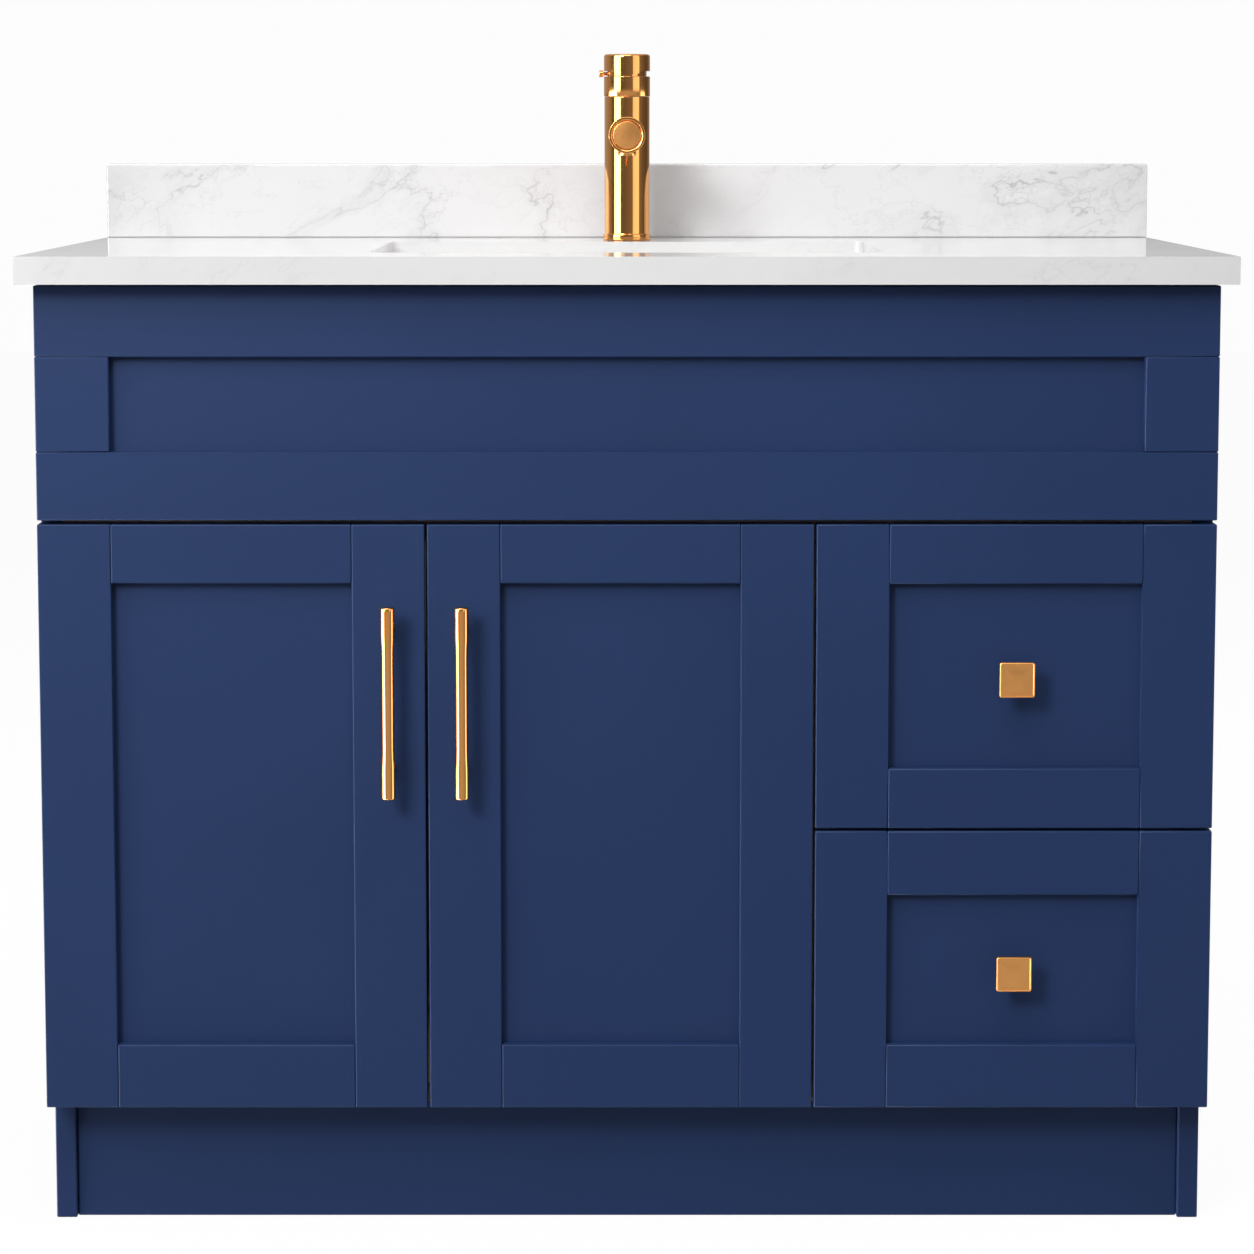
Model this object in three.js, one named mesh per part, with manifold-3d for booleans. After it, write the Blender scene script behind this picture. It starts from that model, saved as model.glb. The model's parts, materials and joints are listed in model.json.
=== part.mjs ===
// A bathroom vanity cabinet with two doors, two drawers, a quartz top, an undermount basin and a faucet.
// Millimetres. +X is to the right as you face it, +Y runs to the wall and +Z is up.
// The origin is on the floor, in the middle of the footprint.
import * as THREE from 'three';
import { mergeVertices } from 'three/addons/utils/BufferGeometryUtils.js';
import Module from 'manifold-3d';

const wasm = await Module();
wasm.setup();

// ---------------------------------------------------------------- driving dimensions
const GAP = 0.3; // between pieces that touch
const BOARD = 19; // carcass board
const SECTIONS = 24; // sides of a turned piece
const CLEAR = 1; // how far a cutting tool stands out past the piece that it cuts
const EDGE = 0.5; // a small chamfer on turned metal

// The counter's front edge is the line that every depth below is counted from.
const COUNTER = { halfWidth: 546, depth: 559, thickness: 25, top: 901 };
const HANDLE_REACH = 7; // the door handles stand this far in front of the counter
const EDGE_Y = HANDLE_REACH - (COUNTER.depth + HANDLE_REACH) / 2;
const behind = (distance) => EDGE_Y + distance;

const CARCASS = { halfWidth: 533.5, front: behind(47), back: behind(COUNTER.depth), top: 875.7 };
const TOE = { height: 118, notchBack: behind(69), board: [behind(75), behind(93)] };
const BOTTOM_TOP = 136;
const BACK_PANEL = [behind(538), behind(546.7)];
const PLUMBING_HOLE = { x: [-150, 150], z: [470, 690] };
const PARTITION = { x: [161.4, 179.4], top: 672 };
const TOP_RAIL = { depth: 18, height: 100 };
const MID_RAIL_Z = [640, 700];

// Doors, drawer fronts and the false front: framed, with a thin panel held in a rabbet.
const FRONT = { face: behind(25), thickness: 20, recess: 10, panel: 6, rabbet: 9, stile: 66 };
const DOOR_Z = [118.5, 658];
const DOOR_OPENING_Z = [177.4, 604.4];
const LEFT_DOOR_X = [-CARCASS.halfWidth, -183.35];
const RIGHT_DOOR_X = [-180.95, 169.2];
const DRAWER_X = [171.5, CARCASS.halfWidth];
const UPPER_DRAWER = { z: [379.2, 658.1], opening: [434.3, 604], knob: 518.6, box: [392, 572] };
const LOWER_DRAWER = { z: [118.5, 376.5], opening: [177.4, 317.2], knob: 247.5, box: [150, 310] };
const FALSE_FRONT = { z: [661.7, 874], opening: [723.7, 810.2], stile: 66.6 };

const HANDLE = {
  length: 175, z: 498.9, radius: 5.75, endRadius: 6.5, endLength: 28, taper: 2, chamfer: 0.8,
  posts: 128, post: 5,
};
const LEFT_HANDLE_X = -215.35;
const RIGHT_HANDLE_X = -148.95;
const KNOB = {
  side: 32, x: 352.5, reach: 28, crown: 2.2, flat: 2, edge: 5, stem: 7,
  foot: 10, footHeight: 2.5, footEnd: 5,
};

const HINGE_Z = [558, 218];
const CUP = { radius: 17.5, depth: 12, wall: 1, inset: 22.5, lip: 1.5 };
const ARM = { plate: 3, plateY: [20, 64], plateHalf: 24, height: 12, half: 7, length: 72 };

const BOX = { wall: 12, depth: 440, bottom: 6, bottomRise: 8, groove: 5 };
const BOX_X = [192.6, 501.3];
const SLIDE = {
  half: 22, sheet: 1.5, lip: 8, length: 400, bar: 18, web: 9, barDepth: 5.5, behindCarcass: 2, behindDoor: 1,
  fromBoard: 3,
};

const SINK = { halfWidth: 237.5, y: [behind(97), behind(397)], corner: 10 };
const BASIN = { wall: 8, flange: 22, flangeCorner: 25, floor: 733, bottomRound: 14, bottomCorner: 4 };
const DRAIN = {
  hole: 22, flange: 32, lip: 2.5, tail: 20, bore: 17, tailEnd: 690, cap: 22, capEdge: 2, capHeight: 4,
  stem: 5, stemEnd: 700,
};
const TRAP = {
  radius: 19, bore: 16.5, bend: 40, top: 689.5, bottom: 580, arm: 640,
  straightEnd: 650, turn: 8, turnEnd: 28, armStart: 90,
};
const SPLASH = { thickness: 20, height: 77 };

// The faucet. Heights are above the counter, radii are from its own upright axis.
const FAUCET_Y = behind(452);
const FAUCET = {
  hole: 17.5, shank: 16, shankDrop: 61, ring: 24.5, ringHeight: 6.5, body: 23,
  sleeveBase: 146, sleeve: 23.5, sleeveTop: 166.5, capTop: 189, capRound: 2.5,
};
const SPOUT = {
  radius: 18, height: 107, reach: 130, ring: 13.5, groove: 0.8, aerator: 9, aeratorBack: 21, aeratorDrop: 2,
};
const NUT = { bore: 16.6, radius: 25, hub: 19, height: 10, flange: 3 };
const PIVOT = 168; // height of the cap's tilting axis
const DOME = { radius: 16, play: 0.5, steps: 10, cupFloor: 158, cupWall: 1.5 };
const SLOT = { halfX: 12.5, top: 172, neck: 20, tilt: 12.5, reach: 40 };
const PIN = { height: 169.3, radius: 1.7, head: 3.4, headFrom: 24.2, tip: 28.4 };

// ---------------------------------------------------------------- materials
const paint = new THREE.MeshStandardMaterial({ color: 0x2c3e6a, roughness: 0.45, metalness: 0 });
const birch = new THREE.MeshStandardMaterial({ color: 0xd9bd8f, roughness: 0.6, metalness: 0 });
const quartz = new THREE.MeshStandardMaterial({ color: 0xeeeeee, roughness: 0.15, metalness: 0 });
const ceramic = new THREE.MeshStandardMaterial({ color: 0xf4f4f2, roughness: 0.08, metalness: 0 });
const gold = new THREE.MeshStandardMaterial({ color: 0xc89655, roughness: 0.25, metalness: 1 });
const steel = new THREE.MeshStandardMaterial({ color: 0xb8bbc0, roughness: 0.35, metalness: 1 });
const chrome = new THREE.MeshStandardMaterial({ color: 0xd8d8da, roughness: 0.12, metalness: 1 });

// ---------------------------------------------------------------- geometry helpers
const X = new THREE.Vector3(1, 0, 0);
const Y = new THREE.Vector3(0, 1, 0);
const Z = new THREE.Vector3(0, 0, 1);
const ALONG_X = new THREE.Matrix4().makeBasis(Y, Z, X); // drawn as (y, z), extruded to +X
const ALONG_Y = new THREE.Matrix4().makeBasis(X, Z, Y.clone().negate()); // drawn as (x, z), to -Y

const widen = ([low, high], by) => [low - by, high + by];
const middle = ([low, high]) => (low + high) / 2;
const centred = (centre, half) => [centre - half, centre + half];

function slab(x, y, z) {
  const box = new THREE.BoxGeometry(x[1] - x[0], y[1] - y[0], z[1] - z[0]);
  return box.translate(middle(x), middle(y), middle(z));
}

function prism(points, depth) {
  const outline = new THREE.Shape(points.map(([u, v]) => new THREE.Vector2(u, v)));
  return new THREE.ExtrudeGeometry(outline, { depth, bevelEnabled: false });
}

// A piece turned about +Z from a list of [radius, height].
function turned(profile) {
  const points = profile.map(([radius, height]) => new THREE.Vector2(radius, height));
  return new THREE.LatheGeometry(points, SECTIONS).rotateX(Math.PI / 2);
}

function rod(radius, from, to) {
  return turned([[0, from], [radius, from], [radius, to], [0, to]]);
}

function roundedRectangle([x0, x1], [y0, y1], radius) {
  const outline = new THREE.Shape();
  outline.moveTo(x0 + radius, y0);
  outline.lineTo(x1 - radius, y0);
  outline.absarc(x1 - radius, y0 + radius, radius, -Math.PI / 2, 0);
  outline.lineTo(x1, y1 - radius);
  outline.absarc(x1 - radius, y1 - radius, radius, 0, Math.PI / 2);
  outline.lineTo(x0 + radius, y1);
  outline.absarc(x0 + radius, y1 - radius, radius, Math.PI / 2, Math.PI);
  outline.lineTo(x0, y0 + radius);
  outline.absarc(x0 + radius, y0 + radius, radius, Math.PI, 1.5 * Math.PI);
  return outline;
}

// ---------------------------------------------------------------- joining and cutting
function solid(geometry) {
  const bare = geometry.clone();
  bare.deleteAttribute('normal');
  bare.deleteAttribute('uv');
  const merged = mergeVertices(bare, 1e-3);
  const made = new wasm.Mesh({
    numProp: 3,
    vertProperties: new Float32Array(merged.attributes.position.array),
    triVerts: new Uint32Array(merged.index.array),
  });
  return new wasm.Manifold(made);
}

function surface(shape) {
  const { vertProperties, triVerts } = shape.getMesh();
  const geometry = new THREE.BufferGeometry();
  geometry.setAttribute('position', new THREE.BufferAttribute(vertProperties, 3));
  geometry.setIndex(new THREE.BufferAttribute(triVerts, 1));
  geometry.computeVertexNormals();
  return geometry;
}

function cut(body, ...tools) {
  return surface(tools.reduce((rest, tool) => rest.subtract(solid(tool)), solid(body)));
}

function join(...pieces) {
  return surface(pieces.map(solid).reduce((whole, piece) => whole.add(piece)));
}

// ---------------------------------------------------------------- the assembly
const vanity = new THREE.Group();

function add(name, geometry, material) {
  const mesh = new THREE.Mesh(geometry, material);
  mesh.name = name;
  vanity.add(mesh);
}

const INSIDE_X = [-CARCASS.halfWidth + BOARD + GAP, CARCASS.halfWidth - BOARD - GAP];

function carcass() {
  const { halfWidth, front, back, top } = CARCASS;
  const side = [
    [TOE.notchBack, 0], [back, 0], [back, top], [front, top], [front, TOE.height],
    [TOE.notchBack, TOE.height],
  ];
  const sidePanel = () => prism(side, BOARD).applyMatrix4(ALONG_X);
  add('side_panel_left', sidePanel().translate(-halfWidth, 0, 0), paint);
  add('side_panel_right', sidePanel().translate(halfWidth - BOARD, 0, 0), paint);

  const floorY = [front, BACK_PANEL[0] - GAP];
  add('bottom_panel', slab(INSIDE_X, floorY, [TOE.height, BOTTOM_TOP]), birch);
  add('toe_kick', slab(INSIDE_X, TOE.board, [0, TOE.height - GAP]), paint);

  const wall = slab(PARTITION.x, floorY, [BOTTOM_TOP + GAP, PARTITION.top]);
  const notchY = [front - GAP, front + TOP_RAIL.depth + GAP];
  const notch = slab(widen(PARTITION.x, CLEAR), notchY, [MID_RAIL_Z[0] - GAP, PARTITION.top + CLEAR]);
  add('partition', cut(wall, notch), birch);

  const backZ = [TOE.height, top];
  const backHole = slab(PLUMBING_HOLE.x, widen(BACK_PANEL, CLEAR), PLUMBING_HOLE.z);
  add('back_panel', cut(slab(INSIDE_X, BACK_PANEL, backZ), backHole), birch);

  const railZ = [top - TOP_RAIL.height, top];
  const frontRailY = [front, front + TOP_RAIL.depth];
  add('front_top_rail', slab(INSIDE_X, frontRailY, railZ), birch);
  add('mid_rail', slab(INSIDE_X, frontRailY, MID_RAIL_Z), birch);
  add('back_top_rail', slab(INSIDE_X, [BACK_PANEL[1] + GAP, back], railZ), birch);
}

// ---------------------------------------------------------------- framed fronts
const FRONT_Y = [FRONT.face, FRONT.face + FRONT.thickness];
const PANEL_Y = [FRONT.face + FRONT.recess, FRONT.face + FRONT.recess + FRONT.panel];
const RABBET_Y = [PANEL_Y[0] - GAP, FRONT_Y[1] + CLEAR];

const rabbetCut = (openX, openZ) => slab(widen(openX, FRONT.rabbet), RABBET_Y, widen(openZ, FRONT.rabbet));

function panelIn(openX, openZ) {
  const lap = FRONT.rabbet - GAP;
  return slab(widen(openX, lap), PANEL_Y, widen(openZ, lap));
}

function ringFrame(x, z, openX, openZ) {
  const hole = slab(openX, widen(FRONT_Y, CLEAR), openZ);
  return cut(slab(x, FRONT_Y, z), hole, rabbetCut(openX, openZ));
}

function falseFront() {
  const x = [-CARCASS.halfWidth, CARCASS.halfWidth];
  const openX = widen(x, -FALSE_FRONT.stile);
  add('false_front_frame', ringFrame(x, FALSE_FRONT.z, openX, FALSE_FRONT.opening), paint);
  add('false_front_panel', panelIn(openX, FALSE_FRONT.opening), paint);
}

function handle(x) {
  const half = HANDLE.length / 2;
  const { radius, endRadius, endLength, taper, chamfer } = HANDLE;
  const axisY = behind(-HANDLE_REACH) + endRadius;
  const upper = [
    [radius, half - endLength - taper], [endRadius, half - endLength],
    [endRadius, half - chamfer], [endRadius - chamfer, half], [0, half],
  ];
  const lower = upper.map(([r, height]) => [r, -height]).toReversed();
  const toDoor = FRONT.face - GAP - axisY;
  const bare = rod(HANDLE.post, -toDoor, 0).rotateX(Math.PI / 2);
  const post = (side) => bare.clone().translate(0, 0, (side * HANDLE.posts) / 2);
  return join(turned([...lower, ...upper]), post(-1), post(1)).translate(x, axisY, HANDLE.z);
}

function hingeCup(x, z) {
  const { radius, depth, wall, lip } = CUP;
  const outer = radius - GAP;
  const cup = turned([
    [0, GAP], [outer, GAP], [outer, depth], [outer - wall - lip, depth],
    [outer - wall - lip, depth - wall], [outer - wall, depth - wall - lip], [outer - wall, GAP + wall],
    [0, GAP + wall],
  ]);
  return cup.rotateX(-Math.PI / 2).translate(x, FRONT_Y[1] - depth, z);
}

// The arm grows from its plate on the board at x; side is +1 where the bay is on the board's right.
function hingeArm(x, side, z) {
  const span = (from, to) => [x + side * from, x + side * to].sort((a, b) => a - b);
  const start = CARCASS.front + GAP;
  const plateY = [start + ARM.plateY[0], start + ARM.plateY[1]];
  const plate = slab(span(GAP, ARM.plate), plateY, centred(z, ARM.plateHalf));
  const arm = slab(span(GAP, ARM.height), [start, start + ARM.length], centred(z, ARM.half));
  return join(plate, arm);
}

function door(name, x, hingeOnLeft, handleX) {
  const openX = widen(x, -FRONT.stile);
  const rabbet = rabbetCut(openX, DOOR_OPENING_Z);
  const stileX = [[x[0], openX[0]], [openX[1], x[1]]];
  const [hingeX, freeX] = hingeOnLeft ? stileX : stileX.toReversed();
  const cupX = hingeOnLeft ? x[0] + CUP.inset : x[1] - CUP.inset;
  const boreY = FRONT_Y[1] - CUP.depth;
  const bore = rod(CUP.radius, 0, CUP.depth + CLEAR).rotateX(-Math.PI / 2);
  const bores = HINGE_Z.map((z) => bore.clone().translate(cupX, boreY, z));
  add(`${name}_hinge_stile`, cut(slab(hingeX, FRONT_Y, DOOR_Z), rabbet, ...bores), paint);
  add(`${name}_handle_stile`, cut(slab(freeX, FRONT_Y, DOOR_Z), rabbet), paint);

  const railX = widen(openX, -GAP);
  const topZ = [DOOR_OPENING_Z[1], DOOR_Z[1]];
  const bottomZ = [DOOR_Z[0], DOOR_OPENING_Z[0]];
  add(`${name}_top_rail`, cut(slab(railX, FRONT_Y, topZ), rabbet), paint);
  add(`${name}_bottom_rail`, cut(slab(railX, FRONT_Y, bottomZ), rabbet), paint);
  add(`${name}_panel`, panelIn(openX, DOOR_OPENING_Z), paint);
  add(`${name}_handle`, handle(handleX), gold);

  const boardX = hingeOnLeft ? BOARD - CARCASS.halfWidth : PARTITION.x[0];
  HINGE_Z.forEach((z, index) => {
    const level = index === 0 ? 'top' : 'bottom';
    add(`${name}_cup_${level}`, hingeCup(cupX, z), steel);
    add(`${name}_hinge_arm_${level}`, hingeArm(boardX, hingeOnLeft ? 1 : -1, z), steel);
  });
}

// ---------------------------------------------------------------- drawers
function knob(z) {
  const { side, reach, crown, flat, edge, stem, foot, footHeight, footEnd } = KNOB;
  const half = side / 2;
  const headBack = reach - edge - crown;
  const top = new THREE.CylinderGeometry(flat * Math.SQRT1_2, half * Math.SQRT2, crown, 4, 1);
  top.rotateY(Math.PI / 4).rotateX(Math.PI / 2).translate(0, 0, reach - crown / 2);
  const plate = slab([-half, half], [-half, half], [headBack, headBack + edge]);
  const shaft = turned([
    [0, GAP], [foot, GAP], [foot, footHeight], [stem, footEnd], [stem, headBack + CLEAR],
    [0, headBack + CLEAR],
  ]);
  return join(plate, top, shaft).rotateX(Math.PI / 2).translate(KNOB.x, PANEL_Y[0], z);
}

function slideChannel(x, side, z) {
  const { half, sheet, lip, length, behindCarcass } = SLIDE;
  const start = CARCASS.front + behindCarcass;
  const channel = prism([
    [0, -half], [lip, -half], [lip, sheet - half], [sheet, sheet - half],
    [sheet, half - sheet], [lip, half - sheet], [lip, half], [0, half],
  ], length).applyMatrix4(ALONG_Y).translate(0, start + length, z);
  if (side < 0) channel.rotateZ(Math.PI).translate(0, 2 * start + length, 0);
  return channel.translate(x + side * GAP, 0, 0);
}

function slideRail(boxX, side, z) {
  const { bar, web, barDepth, length, behindDoor, fromBoard } = SLIDE;
  const outer = boxX + side * (BOX_X[0] - PARTITION.x[1] - fromBoard);
  const start = FRONT_Y[1] + behindDoor;
  const span = (from, to) => [from, to].sort((a, b) => a - b);
  const y = [start, start + length];
  const barX = span(outer, outer - side * barDepth);
  const webX = span(outer, boxX + side * GAP);
  return join(slab(barX, y, centred(z, bar)), slab(webX, y, centred(z, web)));
}

function drawer(name, { z, opening, knob: knobZ, box }) {
  const openX = widen(DRAWER_X, -FRONT.stile);
  add(`${name}_front_frame`, ringFrame(DRAWER_X, z, openX, opening), paint);
  add(`${name}_front_panel`, panelIn(openX, opening), paint);
  add(`${name}_knob`, knob(knobZ), gold);

  const y = [FRONT_Y[1] + GAP, FRONT_Y[1] + GAP + BOX.depth];
  const insideX = widen(BOX_X, -BOX.wall);
  const insideY = widen(y, -BOX.wall);
  const bottomZ = [box[0] + BOX.bottomRise, box[0] + BOX.bottomRise + BOX.bottom];
  const hollow = slab(insideX, insideY, widen(box, CLEAR));
  const groove = slab(widen(insideX, BOX.groove), widen(insideY, BOX.groove), widen(bottomZ, GAP));
  add(`${name}_box`, cut(slab(BOX_X, y, box), hollow, groove), birch);
  const lap = BOX.groove - GAP;
  add(`${name}_bottom`, slab(widen(insideX, lap), widen(insideY, lap), bottomZ), birch);

  const slideZ = middle(box);
  add(`${name}_slide_left`, slideRail(BOX_X[0], -1, slideZ), steel);
  add(`${name}_slide_right`, slideRail(BOX_X[1], 1, slideZ), steel);
  add(`${name}_channel_left`, slideChannel(PARTITION.x[1], 1, slideZ), steel);
  add(`${name}_channel_right`, slideChannel(INSIDE_X[1] + GAP, -1, slideZ), steel);
}

// ---------------------------------------------------------------- top, basin and plumbing
const SINK_X = [-SINK.halfWidth, SINK.halfWidth];
const DECK = COUNTER.top;
const UNDERSIDE = DECK - COUNTER.thickness;
const DRAIN_Y = middle(SINK.y);

function counter() {
  const { halfWidth, depth, thickness } = COUNTER;
  const outline = new THREE.Shape([
    new THREE.Vector2(-halfWidth, behind(0)), new THREE.Vector2(halfWidth, behind(0)),
    new THREE.Vector2(halfWidth, behind(depth)), new THREE.Vector2(-halfWidth, behind(depth)),
  ]);
  outline.holes.push(roundedRectangle(SINK_X, SINK.y, SINK.corner));
  outline.holes.push(new THREE.Path().absarc(0, FAUCET_Y, FAUCET.hole, 0, 2 * Math.PI));
  const options = { depth: thickness, bevelEnabled: false, curveSegments: 8 };
  add('countertop', new THREE.ExtrudeGeometry(outline, options).translate(0, 0, UNDERSIDE), quartz);

  const splashY = [behind(depth - SPLASH.thickness), behind(depth)];
  add('backsplash', slab([-halfWidth, halfWidth], splashY, [DECK + GAP, DECK + SPLASH.height]), quartz);
}

// A rounded tub with its floor at the given height and its top well above the counter's underside.
function tub(grow, floor) {
  const round = BASIN.bottomRound;
  const inset = round - grow;
  const outline = roundedRectangle(widen(SINK_X, -inset), widen(SINK.y, -inset), BASIN.bottomCorner);
  const options = { bevelSize: round, bevelThickness: round, bevelSegments: 2, curveSegments: 2 };
  const depth = UNDERSIDE - floor;
  return new THREE.ExtrudeGeometry(outline, { depth, ...options }).translate(0, 0, floor + round);
}

function basin() {
  const rimZ = [UNDERSIDE - GAP - BASIN.wall, UNDERSIDE - GAP];
  const rimX = widen(SINK_X, BASIN.flange);
  const rimY = widen(SINK.y, BASIN.flange);
  const rim = roundedRectangle(rimX, rimY, BASIN.flangeCorner);
  const options = { depth: BASIN.wall, bevelEnabled: false, curveSegments: 5 };
  const flange = new THREE.ExtrudeGeometry(rim, options);
  const aboveZ = [rimZ[1], UNDERSIDE + 2 * BASIN.bottomRound + CLEAR];
  const above = slab(widen(rimX, CLEAR), widen(rimY, CLEAR), aboveZ);
  const shell = solid(tub(BASIN.wall, BASIN.floor - BASIN.wall)).add(solid(flange.translate(0, 0, rimZ[0])));
  const drain = rod(DRAIN.hole, BASIN.floor - BASIN.wall - CLEAR, BASIN.floor + CLEAR);
  drain.translate(0, DRAIN_Y, 0);
  const hollow = [above, tub(0, BASIN.floor), drain].map(solid);
  add('basin', surface(hollow.reduce((rest, tool) => rest.subtract(tool), shell)), ceramic);
}

function plumbing() {
  const lipBase = BASIN.floor + GAP;
  const lipTop = lipBase + DRAIN.lip;
  const flange = turned([
    [DRAIN.bore, DRAIN.tailEnd], [DRAIN.tail, DRAIN.tailEnd], [DRAIN.tail, lipBase], [DRAIN.flange, lipBase],
    [DRAIN.flange - EDGE, lipTop - EDGE], [DRAIN.tail, lipTop], [DRAIN.bore, lipTop - EDGE],
    [DRAIN.bore, DRAIN.tailEnd],
  ]);
  add('drain_flange', flange.translate(0, DRAIN_Y, 0), chrome);

  const capBase = lipTop + GAP;
  const stopper = turned([
    [0, DRAIN.stemEnd], [DRAIN.stem, DRAIN.stemEnd], [DRAIN.stem, capBase], [DRAIN.cap, capBase],
    [DRAIN.cap - EDGE, capBase + DRAIN.capEdge], [DRAIN.cap / 2, capBase + DRAIN.capHeight - EDGE],
    [0, capBase + DRAIN.capHeight],
  ]);
  add('drain_stopper', stopper.translate(0, DRAIN_Y, 0), chrome);

  const { bend, top, bottom, arm, radius, bore, straightEnd, turn, turnEnd, armStart } = TRAP;
  const outY = DRAIN_Y + 2 * bend;
  const quarter = bend * (1 - Math.SQRT1_2);
  const route = [
    [DRAIN_Y, top], [DRAIN_Y, straightEnd], [DRAIN_Y, bottom + bend], [DRAIN_Y + quarter, bottom + quarter],
    [DRAIN_Y + bend, bottom], [outY - quarter, bottom + quarter], [outY, bottom + bend],
    [outY + turn, arm - turn], [outY + turnEnd, arm], [outY + armStart, arm], [CARCASS.back - CLEAR, arm],
  ].map(([y, z]) => new THREE.Vector3(0, y, z));
  const extrudePath = new THREE.CatmullRomCurve3(route, false, 'centripetal');
  const pipe = (size) => {
    const section = new THREE.Shape().absarc(0, 0, size, 0, 2 * Math.PI);
    return new THREE.ExtrudeGeometry(section, { steps: 28, extrudePath, curveSegments: 5 });
  };
  add('p_trap', cut(pipe(radius), pipe(bore)), chrome);
}

// ---------------------------------------------------------------- faucet
const atFaucet = (geometry) => geometry.translate(0, FAUCET_Y, DECK);

function faucet() {
  const { shank, shankDrop, ring, ringHeight, body, sleeveBase } = FAUCET;
  const column = turned([
    [0, -shankDrop], [shank, -shankDrop], [shank, GAP], [ring - EDGE, GAP], [ring, GAP + EDGE],
    [ring, ringHeight - EDGE], [ring - EDGE, ringHeight], [body, ringHeight], [body, sleeveBase],
    [0, sleeveBase],
  ]);
  add('faucet_body', atFaucet(column), gold);

  const nutTop = -COUNTER.thickness - GAP;
  const nut = turned([
    [NUT.bore, nutTop - NUT.height], [NUT.hub, nutTop - NUT.height], [NUT.hub, nutTop - NUT.flange],
    [NUT.radius, nutTop - NUT.flange], [NUT.radius, nutTop], [NUT.bore, nutTop],
    [NUT.bore, nutTop - NUT.height],
  ]);
  add('faucet_nut', atFaucet(nut), steel);
  add('faucet_spout', atFaucet(spout()), gold);
  add('faucet_cartridge', atFaucet(cartridge()), gold);
  add('faucet_cap', atFaucet(cap()), gold);
}

function spout() {
  const { radius, height, reach, ring, groove, aerator, aeratorBack, aeratorDrop } = SPOUT;
  const arm = turned([
    [0, 0], [radius, 0], [radius, reach - EDGE], [radius - EDGE, reach], [ring + groove, reach],
    [ring + groove, reach - groove], [ring, reach - groove], [ring, reach], [0, reach],
  ]).rotateX(Math.PI / 2);
  const outlet = rod(aerator, -radius - aeratorDrop, 0).translate(0, aeratorBack - reach, 0);
  const whole = solid(join(arm, outlet).translate(0, 0, height));
  const column = rod(FAUCET.body + GAP, height - radius - CLEAR, height + radius + CLEAR);
  return surface(whole.subtract(solid(column)));
}

// Points on a ball's outline, from its top down to the given height.
function domeArc(radius, lowest) {
  const last = Math.acos((lowest - PIVOT) / radius);
  return Array.from({ length: DOME.steps + 1 }, (_, i) => {
    const angle = (last * i) / DOME.steps;
    return [radius * Math.sin(angle), PIVOT + radius * Math.cos(angle)];
  });
}

function cartridge() {
  const { sleeve, sleeveBase, sleeveTop } = FAUCET;
  const { radius, cupFloor, cupWall } = DOME;
  const base = sleeveBase + GAP;
  const inner = sleeve - cupWall;
  return turned([
    [0, base], [sleeve - GAP, base], [sleeve, base + GAP], [sleeve, sleeveTop - GAP],
    [sleeve - GAP, sleeveTop], [inner + GAP, sleeveTop], [inner, sleeveTop - GAP], [inner, cupFloor],
    ...domeArc(radius, cupFloor).toReversed(),
  ]);
}

function cap() {
  const { sleeve, sleeveTop, capTop, capRound } = FAUCET;
  const { halfX, top, neck, tilt, reach } = SLOT;
  const base = sleeveTop + GAP;
  const easing = 0.3 * capRound;
  const outside = turned([
    [0, base], [sleeve, base], [sleeve, capTop - capRound], [sleeve - easing, capTop - easing],
    [sleeve - capRound, capTop], [0, capTop],
  ]);
  const slotZ = [base - CLEAR, top];
  const across = [-reach, reach];
  const slots = [slab([-reach, -halfX], across, slotZ), slab([halfX, reach], across, slotZ)];
  const rise = reach * Math.tan(THREE.MathUtils.degToRad(tilt));
  const slope = [[0, base - CLEAR], [reach, base - CLEAR], [reach, base + rise], [0, base]];
  const wedge = prism(slope, 2 * reach).applyMatrix4(ALONG_Y).translate(0, reach, 0);
  const collar = rod(neck, base, top + CLEAR);
  const hollow = DOME.radius + DOME.play;
  const cavity = new THREE.SphereGeometry(hollow, SECTIONS, 16).rotateX(Math.PI / 2).translate(0, 0, PIVOT);
  const mouth = rod(hollow, base - CLEAR, PIVOT);
  const pin = turned([
    [0, neck - CLEAR], [PIN.radius, neck - CLEAR], [PIN.radius, PIN.headFrom],
    [PIN.head - EDGE, PIN.headFrom], [PIN.head, PIN.headFrom + EDGE], [PIN.head, PIN.tip - EDGE],
    [PIN.head - EDGE, PIN.tip], [0, PIN.tip],
  ]).rotateY(-Math.PI / 2).translate(0, 0, PIN.height);
  const skirt = [...slots, wedge].map(solid).reduce((rest, tool) => rest.subtract(tool), solid(outside));
  const shell = skirt.add(solid(collar)).subtract(solid(cavity)).subtract(solid(mouth));
  return surface(shell.add(solid(pin)));
}

// ---------------------------------------------------------------- build
carcass();
falseFront();
door('door_left', LEFT_DOOR_X, true, LEFT_HANDLE_X);
door('door_right', RIGHT_DOOR_X, false, RIGHT_HANDLE_X);
drawer('drawer_upper', UPPER_DRAWER);
drawer('drawer_lower', LOWER_DRAWER);
counter();
basin();
plumbing();
faucet();

export default vanity;
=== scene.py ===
"""The looks of the bathroom vanity: paint, quartz, ceramic, gold and plywood around the fixed CAD frame."""
import json
import math

import bmesh
import bpy
from mathutils import Matrix, Vector


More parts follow.
